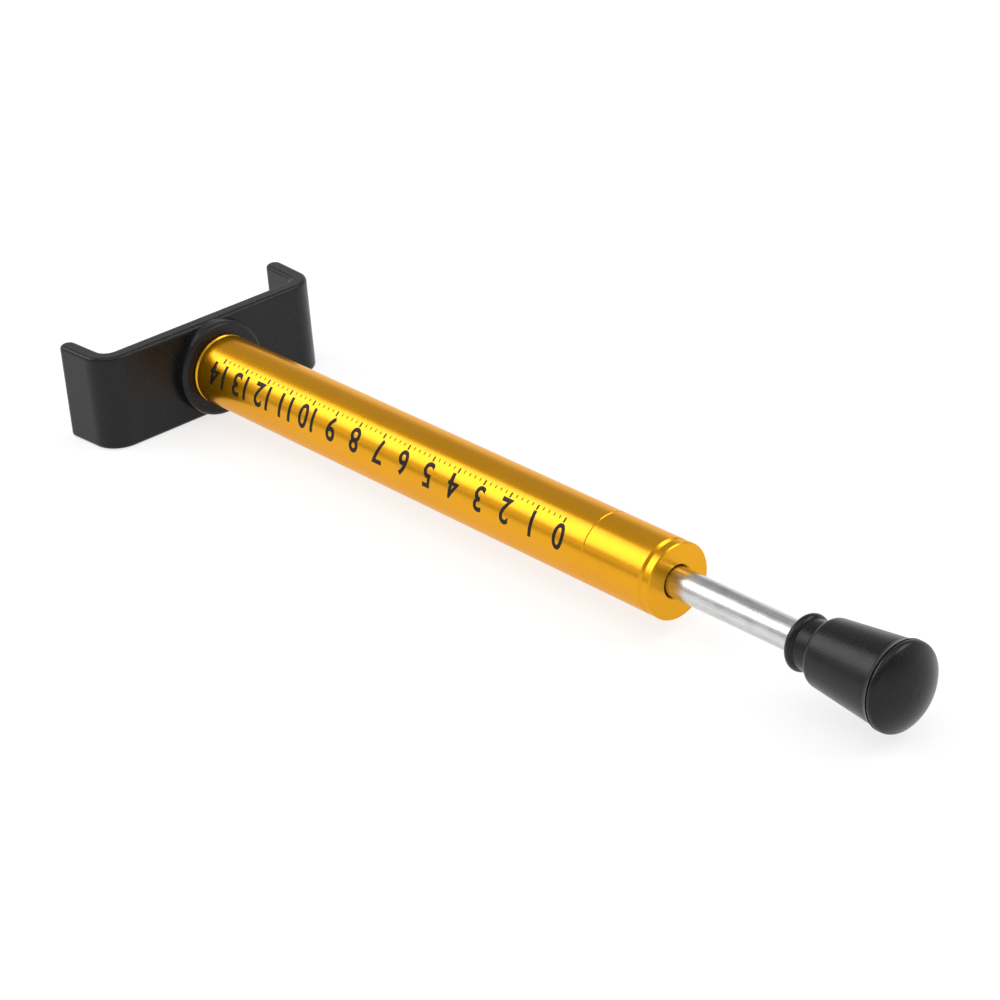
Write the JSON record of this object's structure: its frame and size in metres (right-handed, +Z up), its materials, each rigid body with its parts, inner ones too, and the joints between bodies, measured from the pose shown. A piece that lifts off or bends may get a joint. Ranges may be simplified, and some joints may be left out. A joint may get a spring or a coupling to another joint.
{
  "type": "belt tension tester",
  "caption": "Spring-loaded push gauge for drive belts: round gold barrel, U-shaped black belt cradle at the front, plated plunger rod and domed rubber push knob behind.",
  "frame": {"origin": "centre of the flat belt seat in the cradle, on the barrel's axis", "axes": "+X along the barrel from the belt seat to the push knob, Y across the cradle, +Z up as the tester lies on a bench"},
  "size_m": [0.2845, 0.0766, 0.0278],
  "materials": {
    "cradle_black": "satin black moulding with a fine grain",
    "black_steel": "black-oxide steel",
    "plain_aluminium": "turned, uncoated",
    "bright_steel": "zinc-plated steel",
    "gold_anodised": "turned and gold anodised, satin bright",
    "white_nylon": "natural nylon",
    "spring_steel": "drawn spring wire",
    "bronze": "sintered bronze",
    "felt": "dense felt",
    "black_rubber": "satin black moulded rubber",
    "plated_rod": "bright plated steel bar"
  },
  "bodies": {
    "body": {"belt_cradle": "cradle_black", "cradle_screws": "black_steel", "front_plug": "plain_aluminium", "plug_pins": "bright_steel", "body_tube": "gold_anodised", "preload_shim": "bright_steel", "spring_seat": "white_nylon", "main_spring": "spring_steel", "end_cap": "gold_anodised", "guide_bush": "bronze", "rod_wiper": "felt", "bush_circlip": "black_steel", "stop_buffer": "black_rubber"},
    "spring_end": {"thrust_washer": "bright_steel"},
    "plunger": {"follower": "plain_aluminium", "slide_ring": "white_nylon", "follower_washer": "bright_steel", "follower_nut": "bright_steel", "plunger_rod": "plated_rod", "push_knob": "black_rubber", "knob_disc": "bright_steel"}
  },
  "joints": [
    {"name": "plunger_slide", "type": "slide", "parent": "body", "child": "spring_end", "axis": [-1, 0, 0], "range_m": [0, 0.0412], "stiffness_N_per_m": 1940, "springref_m": -0.002, "deforming": ["main_spring"]},
    {"name": "plunger_turn", "type": "hinge", "parent": "spring_end", "child": "plunger", "pos_m": [0.14, 0, 0], "axis": [1, 0, 0], "continuous": true}
  ]
}
